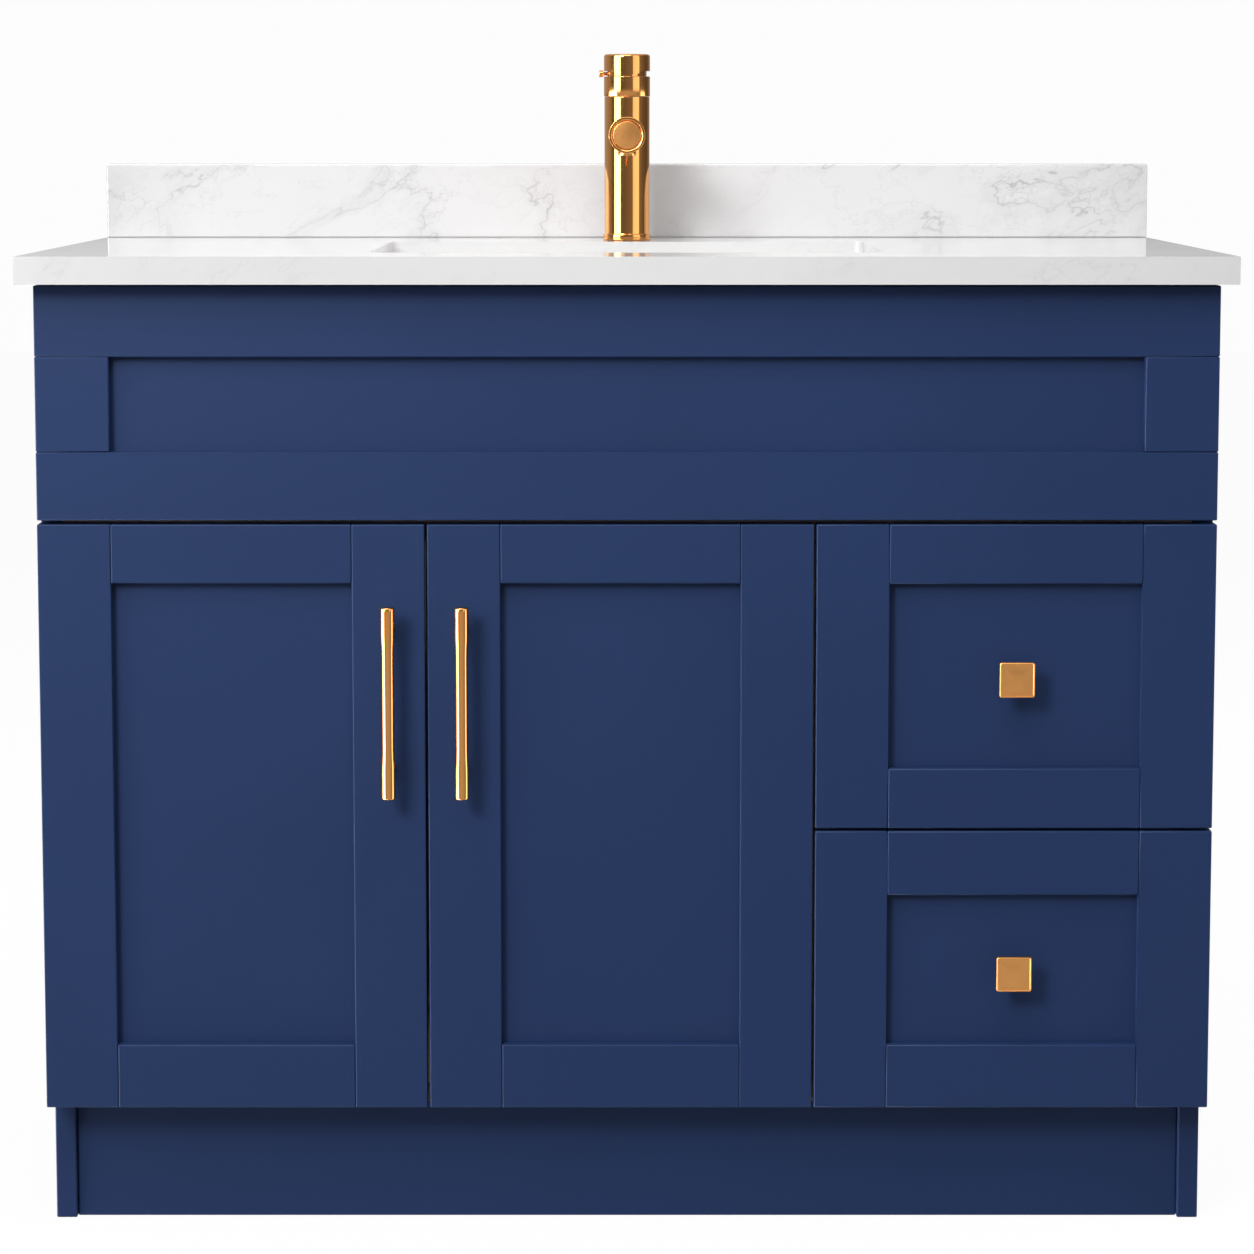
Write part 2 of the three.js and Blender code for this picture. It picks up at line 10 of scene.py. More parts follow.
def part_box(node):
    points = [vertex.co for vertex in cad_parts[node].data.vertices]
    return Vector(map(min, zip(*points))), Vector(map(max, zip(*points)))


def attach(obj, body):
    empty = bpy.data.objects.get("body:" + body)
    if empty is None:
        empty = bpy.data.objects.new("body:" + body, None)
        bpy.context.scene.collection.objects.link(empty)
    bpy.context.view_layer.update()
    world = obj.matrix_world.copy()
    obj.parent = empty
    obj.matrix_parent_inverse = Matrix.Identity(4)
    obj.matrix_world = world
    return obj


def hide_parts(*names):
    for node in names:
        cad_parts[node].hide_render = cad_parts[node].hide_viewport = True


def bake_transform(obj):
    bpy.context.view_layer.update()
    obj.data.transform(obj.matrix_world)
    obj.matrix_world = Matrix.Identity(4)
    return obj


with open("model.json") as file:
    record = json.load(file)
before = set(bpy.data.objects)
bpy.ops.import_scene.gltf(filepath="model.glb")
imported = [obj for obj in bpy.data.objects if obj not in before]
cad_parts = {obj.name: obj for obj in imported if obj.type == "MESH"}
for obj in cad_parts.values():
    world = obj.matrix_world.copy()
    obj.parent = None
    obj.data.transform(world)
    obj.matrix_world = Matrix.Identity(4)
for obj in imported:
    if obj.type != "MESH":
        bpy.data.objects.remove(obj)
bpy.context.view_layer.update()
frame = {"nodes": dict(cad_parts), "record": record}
NODES = frame["nodes"]
MM = 0.001
SLOT = {s["node"]: s["material_slot"] for s in frame["record"]["subparts"]}
BODY = {node: body for body, nodes in frame["record"]["behaviour"]["bodies"].items() for node in nodes}


# ---------------------------------------------------------------- camera, floor and light
EYE_DISTANCE = 2.955  # from the counter's front edge
EYE_HEIGHT = 1.012
LENS = 95.3
TILT = 5.51  # degrees below the horizon
SHIFT = -0.14
BACKDROP = 0.98
SOFT_BELOW, SOFT_ABOVE = 0.08, 0.22  # diffuse light from under the horizon and from overhead
CEILING = 0.8
# What metal reflects: (place round the compass, brightness), at the faucet's level and below the horizon.
STRIPS_LEVEL = (
    (0.00, 0.50), (0.144, 0.50), (0.239, 0.36), (0.290, 0.13), (0.311, 0.08), (0.318, 9.0), (0.402, 9.0),
    (0.410, 0.12), (0.450, 0.16), (0.520, 0.24), (0.580, 0.28), (0.589, 1.6), (0.672, 1.9), (0.684, 0.30),
    (0.761, 0.16), (0.833, 0.12), (0.95, 0.40),
)
STRIPS_BELOW = (
    (0.00, 0.30), (0.18, 0.20), (0.215, 0.9), (0.236, 14.0), (0.340, 14.0), (0.358, 0.36), (0.42, 0.60),
    (0.50, 0.66), (0.60, 0.55), (0.67, 0.36), (0.695, 0.60), (0.710, 3.6), (0.768, 3.6), (0.784, 0.25),
    (0.84, 0.10), (0.95, 0.30),
)


def make_camera():
    counter_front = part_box("countertop")[0].y
    data = bpy.data.cameras.new("camera")
    data.sensor_width = 36.0
    data.lens = LENS
    data.shift_y = SHIFT
    camera = bpy.data.objects.new("camera", data)
    bpy.context.scene.view_settings.view_transform = "Standard"
    camera.location = (0, counter_front - EYE_DISTANCE, EYE_HEIGHT)
    camera.rotation_euler = (math.radians(90 - TILT), 0, 0)
    bpy.context.scene.collection.objects.link(camera)
    bpy.context.scene.camera = camera


def make_area_light(name, place, aim, size, power, mirrored=True):
    """A soft light in watts. One that isn't mirrored lights surfaces but shows in no reflection."""
    data = bpy.data.lights.new(name, "AREA")
    data.shape = "RECTANGLE"
    data.size, data.size_y = size
    data.energy = power
    lamp = bpy.data.objects.new(name, data)
    lamp.location = place
    direction = Vector(aim) - Vector(place)
    lamp.rotation_euler = direction.to_track_quat("-Z", "Y").to_euler()
    lamp.visible_glossy = mirrored
    bpy.context.scene.collection.objects.link(lamp)


def make_world():
    """White behind the object, soft light all round, and tall strips and dark gaps for metal to reflect."""
    world = bpy.data.worlds.new("studio")
    bpy.context.scene.world = world
    world.use_nodes = True
    nodes, links = world.node_tree.nodes, world.node_tree.links
    nodes.clear()

    def background(strength):
        made = nodes.new("ShaderNodeBackground")
        made.inputs["Color"].default_value = (1, 1, 1, 1)
        made.inputs["Strength"].default_value = strength
        return made

    def mixed(share, first, second):
        made = nodes.new("ShaderNodeMixShader")
        links.new(share, made.inputs["Fac"])
        links.new(first.outputs[0], made.inputs[1])
        links.new(second.outputs[0], made.inputs[2])
        return made

    coordinate = nodes.new("ShaderNodeTexCoord")
    turn = nodes.new("ShaderNodeMapping")
    turn.inputs["Rotation"].default_value = (0, 0, math.radians(90))
    angle = nodes.new("ShaderNodeTexGradient")
    angle.gradient_type = "RADIAL"
    links.new(coordinate.outputs["Generated"], turn.inputs["Vector"])
    links.new(turn.outputs["Vector"], angle.inputs["Vector"])

    def strips(stops):
        """Brightness round the compass, from straight behind the object, by its left, to behind it again."""
        ramp = nodes.new("ShaderNodeValToRGB")
        elements = ramp.color_ramp.elements
        for index, (place, value) in enumerate(stops):
            element = elements[index] if index < 2 else elements.new(place)
            element.position = place
            element.color = (value, value, value, 1)
        links.new(angle.outputs["Fac"], ramp.inputs["Fac"])
        made = background(1.0)
        links.new(ramp.outputs["Color"], made.inputs["Color"])
        return made

    height = nodes.new("ShaderNodeSeparateXYZ")
    links.new(coordinate.outputs["Generated"], height.inputs["Vector"])

    def climb(start, end):
        made = nodes.new("ShaderNodeMapRange")
        made.inputs["From Min"].default_value = start
        made.inputs["From Max"].default_value = end
        links.new(height.outputs["Z"], made.inputs["Value"])
        return made.outputs["Result"]

    path = nodes.new("ShaderNodeLightPath")
    level = mixed(climb(-0.060, -0.036), strips(STRIPS_BELOW), strips(STRIPS_LEVEL))
    reflected = mixed(climb(0.45, 0.75), level, background(CEILING))
    soft = mixed(climb(-0.3, 0.6), background(SOFT_BELOW), background(SOFT_ABOVE))
    # Only a mirror seen directly meets the strips, so that they throw no spots of light on the quartz.
    unscattered = nodes.new("ShaderNodeMath")
    unscattered.operation = "LESS_THAN"
    links.new(path.outputs["Diffuse Depth"], unscattered.inputs[0])
    mirrored = nodes.new("ShaderNodeMath")
    mirrored.operation = "MULTIPLY"
    links.new(path.outputs["Is Glossy Ray"], mirrored.inputs[0])
    links.new(unscattered.outputs[0], mirrored.inputs[1])
    lighting = mixed(mirrored.outputs[0], soft, reflected)
    seen = mixed(path.outputs["Is Camera Ray"], lighting, background(BACKDROP))
    output = nodes.new("ShaderNodeOutputWorld")
    links.new(seen.outputs["Shader"], output.inputs["Surface"])


def make_floor():
    """A white ground that glows by itself, and neither lights the object nor shows in its metal."""
    size = 12.0
    mesh = bpy.data.meshes.new("floor")
    corners = [(-size, -size, 0), (size, -size, 0), (size, size, 0), (-size, size, 0)]
    mesh.from_pydata(corners, [], [(0, 1, 2, 3)])
    floor = bpy.data.objects.new("floor", mesh)
    floor.visible_diffuse = False
    floor.visible_glossy = False
    bpy.context.scene.collection.objects.link(floor)
    g = Graph("floor_white")
    g.set(base=(0.05, 0.05, 0.05), roughness=0.9, Specular_IOR_Level=0.0,
          Emission_Color=(1, 1, 1, 1), Emission_Strength=0.955)
    mesh.materials.append(g.material)


# ---------------------------------------------------------------- material graphs
class Graph:
    """One material's node tree, with a Principled shader to feed."""

    def __init__(self, name):
        self.material = bpy.data.materials.new(name)
        self.material.use_nodes = True
        self.tree = self.material.node_tree
        self.shader = self.tree.nodes["Principled BSDF"]

    def set(self, base=None, roughness=None, **sockets):
        if base is not None:
            self.shader.inputs["Base Color"].default_value = (*base, 1)
        if roughness is not None:
            self.shader.inputs["Roughness"].default_value = roughness
        for name, value in sockets.items():
            self.shader.inputs[name.replace("_", " ")].default_value = value

    def node(self, kind, **inputs):
        made = self.tree.nodes.new("ShaderNode" + kind)
        for name, value in inputs.items():
            self.feed(value, made.inputs[name.replace("_", " ")])
        return made

    def feed(self, value, socket):
        if isinstance(value, bpy.types.NodeSocket):
            self.tree.links.new(value, socket)
        else:
            socket.default_value = value

    def place(self):
        """Where a point is on the object, in metres."""
        return self.node("TexCoord").outputs["Object"]

    def component(self, vector, axis):
        return self.node("SeparateXYZ", Vector=vector).outputs[axis.upper()]

    def stretched(self, vector, scale, turn=(0, 0, 0)):
        made = self.node("Mapping", Vector=vector)
        made.inputs["Scale"].default_value = scale
        made.inputs["Rotation"].default_value = turn
        return made.outputs["Vector"]

    def noise(self, vector, scale, detail=3.0, roughness=0.5, distortion=0.0):
        made = self.node("TexNoise", Vector=vector, Scale=scale, Detail=detail,
                         Roughness=roughness, Distortion=distortion)
        return made.outputs["Fac"]

    def math(self, operation, first, second=0.0, clamp=False):
        made = self.tree.nodes.new("ShaderNodeMath")
        made.operation = operation
        made.use_clamp = clamp
        self.feed(first, made.inputs[0])
        self.feed(second, made.inputs[1])
        return made.outputs[0]

    def span(self, value, low, high, to_low=0.0, to_high=1.0):
        made = self.node("MapRange", Value=value)
        for name, number in zip(("From Min", "From Max", "To Min", "To Max"), (low, high, to_low, to_high)):
            made.inputs[name].default_value = number
        return made.outputs["Result"]

    def ramp(self, value, stops):
        made = self.node("ValToRGB", Fac=value)
        elements = made.color_ramp.elements
        for index, (place, colour) in enumerate(stops):
            element = elements[index] if index < 2 else elements.new(place)
            element.position = place
            element.color = (*colour, 1)
        return made.outputs["Color"]

    def mix(self, share, first, second):
        made = self.tree.nodes.new("ShaderNodeMix")
        made.data_type = "RGBA"
        self.feed(share, made.inputs["Factor"])
        for value, socket in ((first, made.inputs[6]), (second, made.inputs[7])):
            self.feed(value if isinstance(value, bpy.types.NodeSocket) else (*value, 1), socket)
        return made.outputs[2]

    def bump(self, height, strength, distance):
        made = self.node("Bump", Height=height, Strength=strength, Distance=distance)
        self.feed(made.outputs["Normal"], self.shader.inputs["Normal"])

    def out(self, name, value):
        self.feed(value, self.shader.inputs[name])


def navy_paint():
    g = Graph("navy_paint")
    place = g.place()
    tone = g.noise(place, 3.5, detail=2.0)
    g.out("Base Color", g.ramp(tone, [(0.3, (0.0130, 0.0320, 0.1045)), (0.7, (0.0148, 0.0360, 0.1150))]))
    speckle = g.noise(place, 900.0, detail=2.0)
    g.out("Roughness", g.span(speckle, 0.3, 0.7, 0.44, 0.54))
    peel = g.noise(place, 420.0, detail=2.0)
    g.bump(peel, 0.08, 0.0006)
    g.set(Specular_IOR_Level=0.25)
    return g.material


def quartz():
    """White quartz with faint clouds and thin grey veins that climb to the right, stronger at the back, on a
    ground darkened towards the back as painted shade.
    """
    g = Graph("quartz")
    g.set(roughness=0.12, Specular_IOR_Level=0.5, Coat_Weight=0.3, Coat_Roughness=0.05)
    place = g.place()

    def veins(scale, slope, width, shift):
        along = g.stretched(place, (1, 1, 1), (math.radians(shift), math.radians(slope), math.radians(30)))
        bent = g.noise(g.stretched(along, (scale * 0.3, scale, scale)), 1.0, 5.0, 0.58, distortion=0.35)
        return g.span(g.math("ABSOLUTE", g.math("SUBTRACT", bent, 0.5)), 0.0, width, 1.0, 0.0)

    main = veins(9.0, 26, 0.007, 12)
    fine = veins(17.0, 34, 0.009, -20)
    cross = veins(11.0, -48, 0.006, 35)
    patch = g.span(g.noise(g.stretched(place, (2.0, 3.0, 3.0)), 1.0, 2.0), 0.38, 0.56, 0.30, 1.0)
    dark = g.span(g.noise(place, 16.0, 3.0), 0.48, 0.66, 0.35, 1.0)
    lesser = g.math("MAXIMUM", g.math("MULTIPLY", fine, 0.45), g.math("MULTIPLY", cross, 0.6))
    veined = g.math("MAXIMUM", main, lesser)
    # From 0.2 at the front to 1 at the back: how strong the veins are, and how far painted shade greys the
    # ground.
    deep = g.span(g.component(place, "y"), -0.27, 0.26, 0.2, 1.0)
    where = g.math("MULTIPLY", dark, deep)
    share = g.math("MULTIPLY", g.math("MULTIPLY", veined, patch), where, clamp=True)
    halo = g.math("MULTIPLY", veins(9.0, 26, 0.05, 12), deep)
    cloud = g.noise(place, 5.0, 5.0, 0.6)
    ground = g.ramp(cloud, [(0.35, (0.86, 0.855, 0.855)), (0.65, (0.91, 0.905, 0.905))])
    # Painted shade: the ground greys towards the back, dimming the back of the top and the backsplash.
    ground = g.mix(g.math("MULTIPLY", deep, 0.75), ground, (0.745, 0.74, 0.745))
    soft = g.mix(g.math("MULTIPLY", g.math("MULTIPLY", halo, patch), 0.16), ground, (0.42, 0.41, 0.43))
    g.out("Base Color", g.mix(g.math("MULTIPLY", share, 0.62), soft, (0.30, 0.29, 0.30)))
    return g.material


def ceramic():
    g = Graph("ceramic")
    g.set(roughness=0.06, Coat_Weight=0.6, Coat_Roughness=0.03)
    tone = g.noise(g.place(), 6.0, detail=1.0)
    g.out("Base Color", g.ramp(tone, [(0.3, (0.86, 0.86, 0.85)), (0.7, (0.90, 0.90, 0.89))]))
    return g.material


def metal(name, dark, light, roughness, spread, scale, relief=0.04):
    """A metal with a faint grain. A larger scale along an axis means finer grain across it."""
    g = Graph(name)
    g.set(Metallic=1.0)
    place = g.place()
    tone = g.noise(place, 40.0, detail=2.0)
    g.out("Base Color", g.ramp(tone, [(0.3, dark), (0.7, light)]))
    grain = g.noise(g.stretched(place, scale), 1.0, detail=3.0)
    g.out("Roughness", g.span(grain, 0.3, 0.7, roughness, roughness + spread))
    g.bump(grain, relief, 0.0002)
    return g.material


def birch_ply(grain, thickness):
    """Birch plywood: its grain runs along one axis, and its plies show across the other at the edges."""
    ply_pair = 0.0026
    g = Graph(f"birch_{grain}{thickness}")
    shift = g.node("VectorMath", Vector=g.place())
    g.feed(g.node("ObjectInfo").outputs["Random"], shift.inputs[1])
    place = shift.outputs["Vector"]
    waves = g.noise(g.stretched(place, [3.0 if axis == grain else 45.0 for axis in "xyz"]), 1.0,
                    detail=6.0, roughness=0.62, distortion=0.8)
    face = g.ramp(waves, [(0.25, (0.52, 0.36, 0.20)), (0.5, (0.66, 0.49, 0.30)), (0.78, (0.74, 0.58, 0.39))])
    across = g.component(g.place(), thickness)
    ply = g.span(g.math("SINE", g.math("MULTIPLY", across, 2 * math.pi / ply_pair)), -0.25, 0.25)
    edge = g.ramp(ply, [(0.0, (0.34, 0.21, 0.11)), (1.0, (0.68, 0.52, 0.33))])
    facing = g.math("ABSOLUTE", g.component(g.node("NewGeometry").outputs["True Normal"], thickness))
    g.out("Base Color", g.mix(g.span(facing, 0.3, 0.6), edge, face))
    fibre_scale = [30.0 if axis == grain else 900.0 for axis in "xyz"]
    fibre = g.noise(g.stretched(place, fibre_scale), 1.0, detail=2.0)
    g.out("Roughness", g.span(fibre, 0.3, 0.7, 0.42, 0.58))
    g.bump(fibre, 0.12, 0.0004)
    return g.material


BOARD_AXES = (("x", "y"), ("x", "z"), ("y", "x"), ("y", "z"), ("z", "x"))  # (grain, thickness)
BIRCH = {axes: birch_ply(*axes) for axes in BOARD_AXES}
MATERIALS = {
    "navy_paint": navy_paint(),
    "birch_ply": BIRCH["x", "y"],
    "quartz": quartz(),
    "ceramic": ceramic(),
    "gold": metal("gold", (0.74, 0.33, 0.098), (0.78, 0.355, 0.108), 0.07, 0.04, (60, 60, 900), relief=0.02),
    "steel": metal("steel", (0.50, 0.51, 0.53), (0.58, 0.59, 0.61), 0.26, 0.14, (300, 300, 300)),
    "chrome": metal("chrome", (0.76, 0.76, 0.77), (0.80, 0.80, 0.81), 0.05, 0.04, (300, 300, 300)),
}
SATIN_GOLD = metal("gold_satin", (0.79, 0.365, 0.115), (0.83, 0.390, 0.125), 0.28, 0.06, (900, 60, 60))


# ---------------------------------------------------------------- meshes
def filleted(profile, radius, steps=4):
    """The same outline with each inner corner rounded to about this radius."""
    points = [Vector(p) for p in profile]
    made = [points[0]]
    for before, corner, after in zip(points, points[1:], points[2:]):
        back, on = before - corner, after - corner
        cut = min(radius, back.length / 2, on.length / 2)
        start, end = corner + back.normalized() * cut, corner + on.normalized() * cut
        for step in range(steps + 1):
            t = step / steps
            made.append(start * (1 - t) ** 2 + corner * 2 * t * (1 - t) + end * t ** 2)
    return [tuple(p) for p in [*made, points[-1]]]


def skin(rings, joined=False):
    """Vertices and faces over a run of rings, each with the same number of points or with one."""
    vertices, index, faces = [], [], []
    for ring in rings:
        index.append(range(len(vertices), len(vertices) + len(ring)))
        vertices.extend(ring)
    pairs = list(zip(index, index[1:]))
    if joined:
        pairs.append((index[-1], index[0]))
    for lower, upper in pairs:
        count = max(len(lower), len(upper))
        for i in range(count):
            j = (i + 1) % count
            first, second = lower[i % len(lower)], lower[j % len(lower)]
            third, fourth = upper[j % len(upper)], upper[i % len(upper)]
            corners = list(dict.fromkeys((first, second, third, fourth)))
            if len(corners) > 2:
                faces.append(corners)
    return vertices, faces


def circle(radius, height, sides):
    if radius == 0:
        return [Vector((0, 0, height))]
    turns = (2 * math.pi * i / sides for i in range(sides))
    return [Vector((radius * math.cos(a), radius * math.sin(a), height)) for a in turns]


def rounded_rectangle(half_x, half_y, radius, height, steps=6):
    ring = []
    for quarter, (sign_x, sign_y) in enumerate(((1, 1), (-1, 1), (-1, -1), (1, -1))):
        for step in range(steps + 1):
            a = math.pi / 2 * (quarter + step / steps)
            x = sign_x * (half_x - radius) + radius * math.cos(a)
            y = sign_y * (half_y - radius) + radius * math.sin(a)
            ring.append(Vector((x, y, height)))
    return ring


def turned(profile, sides=96, joined=False):
    """A piece turned about +Z from (radius, height) pairs in millimetres."""
    return skin([circle(radius, height, sides) for radius, height in profile], joined)


def finish_mesh(piece, sharp=32):
    """Faces pointing out, smooth but for the edges sharper than this angle."""
    work = bmesh.new()
    work.from_mesh(piece.data)
    bmesh.ops.recalc_face_normals(work, faces=work.faces)
    work.to_mesh(piece.data)
    work.free()
    piece.data.shade_smooth()
    piece.data.set_sharp_from_angle(angle=math.radians(sharp))


def make_piece(name, shape, slot, body, place=Matrix.Identity(4), stands_for=(), material=None):
    """A piece from vertices in millimetres about its own origin, put in place in metres."""
    vertices, faces = shape
    mesh = bpy.data.meshes.new(name)
    mesh.from_pydata([place @ (Vector(v) * MM) for v in vertices], [], faces)
    mesh.materials.append(material or MATERIALS[slot])
    piece = bpy.data.objects.new(name, mesh)
    bpy.context.scene.collection.objects.link(piece)
    finish_mesh(piece)
    if body:
        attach(piece, body)
    if stands_for:
        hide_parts(*stands_for)
    return piece


def capped(rings):
    """A skin over rings of equal count, closed at both ends."""
    vertices, faces = skin(rings)
    count, total = len(rings[0]), len(vertices)
    return vertices, [*faces, list(range(count)), list(range(total - 1, total - count - 1, -1))]


def slab(low, high):
    """A box's vertices and faces, in millimetres."""
    base = ((low[0], low[1]), (high[0], low[1]), (high[0], high[1]), (low[0], high[1]))
    return capped([[Vector((x, y, z)) for x, y in base] for z in (low[2], high[2])])


def ease(piece, width, angle=40):
    """Round every edge that turns by more than this angle."""
    bevel = piece.modifiers.new("eased", "BEVEL")
    bevel.width = width * MM
    bevel.segments = 2
    bevel.limit_method = "ANGLE"
    bevel.angle_limit = math.radians(angle)
    return piece


def apply_modifiers(piece):
    """Make the modifiers' result the piece's own mesh."""
    graph = bpy.context.evaluated_depsgraph_get()
    old = piece.data
    piece.data = bpy.data.meshes.new_from_object(piece.evaluated_get(graph))
    piece.modifiers.clear()
    bpy.data.meshes.remove(old)


def carve(piece, *tools):
    """The piece less each tool's shape; the tools are used up."""
    for tool in tools:
        cut = piece.modifiers.new("cut", "BOOLEAN")
        cut.operation = "DIFFERENCE"
        cut.solver = "EXACT"
        cut.object = tool
    apply_modifiers(piece)
    for tool in tools:
        bpy.data.objects.remove(tool)
    finish_mesh(piece)


def at(x, y, z):
    return Matrix.Translation((x, y, z))


FORWARD = Matrix.Rotation(math.radians(90), 4, "X")  # turns +Z towards the viewer
BACKWARD = Matrix.Rotation(math.radians(-90), 4, "X")
RIGHTWARD = Matrix.Rotation(math.radians(90), 4, "Y")
LEFTWARD = Matrix.Rotation(math.radians(-90), 4, "Y")
UPRIGHT_ENDS = ((1, "top"), (-1, "bottom"))
SCREW_SIDES = ((1, "upper"), (-1, "lower"))
WELD = 0.00002  # vertices of one corner are never further apart, in metres


# ---------------------------------------------------------------- framed fronts
EASED = {  # how wide each material's edges are rounded, in millimetres
    "navy_paint": 1.1, "birch_ply": 0.5, "quartz": 1.5, "ceramic": 1.0,
    "steel": 0.3, "gold": 0.3, "chrome": 0.3,
}
LAP = 0.0087  # how far a panel reaches into its frame, in metres
JOINT = 0.00025  # the gap between a rail and a stile, in metres


def clip(source, name, planes):
    """A closed piece of a CAD node, on the inner side of each (point, outward direction)."""
    work = bmesh.new()
    work.from_mesh(NODES[source].data)
    bmesh.ops.remove_doubles(work, verts=work.verts, dist=WELD)
    for point, outward in planes:
        whole = work.verts[:] + work.edges[:] + work.faces[:]
        bmesh.ops.bisect_plane(work, geom=whole, plane_co=point, plane_no=outward, clear_outer=True)
        open_edges = [edge for edge in work.edges if edge.is_boundary]
        bmesh.ops.holes_fill(work, edges=open_edges)
    bmesh.ops.dissolve_limit(work, angle_limit=math.radians(1), verts=work.verts, edges=work.edges)
    mesh = bpy.data.meshes.new(name)
    work.to_mesh(mesh)
    work.free()
    vertices = [v.co / MM for v in mesh.vertices]
    faces = [list(polygon.vertices) for polygon in mesh.polygons]
    bpy.data.meshes.remove(mesh)
    piece = make_piece(name, (vertices, faces), SLOT[source], BODY[source])
    return ease(piece, EASED["navy_paint"])


def frame_members(source, panel, through):
    """Rails and stiles cut from a one-piece frame. Its rails or its stiles run through the corners."""
    low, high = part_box(panel)
    low, high = low + Vector((LAP, 0, LAP)), high - Vector((LAP, 0, LAP))
    left, right = Vector((-1, 0, 0)), Vector((1, 0, 0))
    down, up = Vector((0, 0, -1)), Vector((0, 0, 1))
    inset = Vector((JOINT, 0, JOINT))
    stile_ends, rail_ends = [], []
    if through == "rails":
        stile_ends = [(point - 2 * JOINT * n, n) for point, n in ((low - inset, down), (high + inset, up))]
    else:
        rail_ends = [(point - 2 * JOINT * n, n) for point, n in ((low - inset, left), (high + inset, right))]
    stem = source.removesuffix("_frame")
    members = [
        clip(source, f"{stem}_left_stile", [(low, right), *stile_ends]),
        clip(source, f"{stem}_right_stile", [(high, left), *stile_ends]),
        clip(source, f"{stem}_bottom_rail", [(low, up), *rail_ends]),
        clip(source, f"{stem}_top_rail", [(high, down), *rail_ends]),
    ]
    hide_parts(source)


# ---------------------------------------------------------------- handles and knobs
HANDLE = {"thin": 5.75, "thick": 6.5, "end": 28.0, "taper": 14, "chamfer": 0.9, "post": 64}


def make_handle(node):
    """A bar with slightly thicker ends on two posts."""
    low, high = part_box(node)
    body = BODY[node]
    half = (high.z - low.z) / 2 / MM
    thin, thick, chamfer = HANDLE["thin"], HANDLE["thick"], HANDLE["chamfer"]
    neck = half - HANDLE["end"]
    axis = Vector(((low.x + high.x) / 2, low.y + thick * MM, (low.z + high.z) / 2))
    taper = filleted([(thin, 0), (thin, neck - HANDLE["taper"]), (thick, neck), (thick, neck + 8)], 6, 5)[1:]
    tip = filleted([(thick, half - 8), (thick, half - chamfer), (thick - chamfer, half), (0, half)], 0.3, 3)
    upper = [*taper, *tip]
    profile = [(r, -z) for r, z in reversed(upper)] + upper
    make_piece(f"{node}_bar", turned(profile), "gold", body, at(*axis), [node])
    reach = (high.y - axis.y) / MM
    post = [(0, 0), (4.6, 0), (4.6, reach - 3), (5.4, reach - 1.5), (5.4, reach), (0, reach)]
    for side, name in UPRIGHT_ENDS:
        place = at(axis.x, axis.y, axis.z + side * HANDLE["post"] * MM) @ BACKWARD
        make_piece(f"{node}_post_{name}", turned(filleted(post, 0.5, 3), 64), "gold", body, place)
    door_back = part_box(node.replace("handle", "handle_stile"))[1].y
    for side, name in UPRIGHT_ENDS:
        place = at(axis.x, door_back, axis.z + side * HANDLE["post"] * MM) @ BACKWARD
        make_piece(f"{node}_screw_{name}", screw_head(4.2, 2.2), "steel", body, place)


def screw_head(radius, height):
    """A pan head with a socket, its flat underside at 0."""
    return turned(filleted([
        (0, 0), (radius, 0), (radius * 0.94, height * 0.55), (radius * 0.5, height), (radius * 0.42, height),
        (radius * 0.34, height * 0.35), (0, height * 0.3),
    ], 0.4, 3), 32)


def make_knob(node):
    """A square head with a raised rim round a low pyramid, on a turned stem."""
    low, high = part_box(node)
    body = BODY[node]
    place = at((low.x + high.x) / 2, high.y, (low.z + high.z) / 2) @ FORWARD
    reach = (high.y - low.y) / MM
    half = (high.x - low.x) / 2 / MM
    back = reach - 6.2  # the head is this thick
    rings = [  # (half its side, corner radius, height)
        (half - 2.5, 1.0, back), (half - 0.6, 1.6, back + 0.3), (half, 2.0, back + 1.0),
        (half, 2.0, reach - 1.7), (half - 0.25, 1.9, reach - 1.1), (half - 0.7, 1.7, reach - 0.85),
        (half - 1.25, 1.3, reach - 1.0), (half - 1.6, 1.0, reach - 1.45), (half - 2.2, 0.5, reach - 1.5),
        (half * 0.5, 0.2, reach - 1.1),
    ]
    head = [rounded_rectangle(size, size, corner, height) for size, corner, height in rings]
    shape = skin([[Vector((0, 0, back))], *head, [Vector((0, 0, reach - 0.7))]])
    make_piece(f"{node}_head", shape, "gold", body, place, [node], SATIN_GOLD)
    stem = [(0, 0), (9.5, 0), (9.5, 1.6), (6.4, 5.5), (6.4, back - 3), (9, back), (0, back + 0.5)]
    make_piece(f"{node}_stem", turned(filleted(stem, 1.2), 64), "gold", body, place)


# ---------------------------------------------------------------- faucet, in millimetres above the deck
COLUMN = {"radius": 23, "top": 146, "ring": 24.5, "ring_top": 6.5, "shank": 16, "shank_end": -61}
SLEEVE = {"radius": 23.5, "top": 166.5, "cup": 22, "cup_floor": 158}
DOME = {"radius": 16, "height": 168, "play": 0.5}
CAP = {"bottom": 166.8, "top": 189, "round": 3.0, "tilt": 12.5}
CAP_SLOT = {"near": 12.5, "bottom": 160, "top": 172}  # each slot, from this far to the side of the axis
SPOUT = {"height": 107, "radius": 18, "end": 130, "aerator_at": 109}
PIN_HEIGHT = 169.3
OUTSIDE = 40  # how far a cutting shape reaches from the faucet's axis


def faucet_axis():
    low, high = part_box("faucet_body")
    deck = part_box("countertop")[1].z
    return at((low.x + high.x) / 2, (low.y + high.y) / 2, deck)


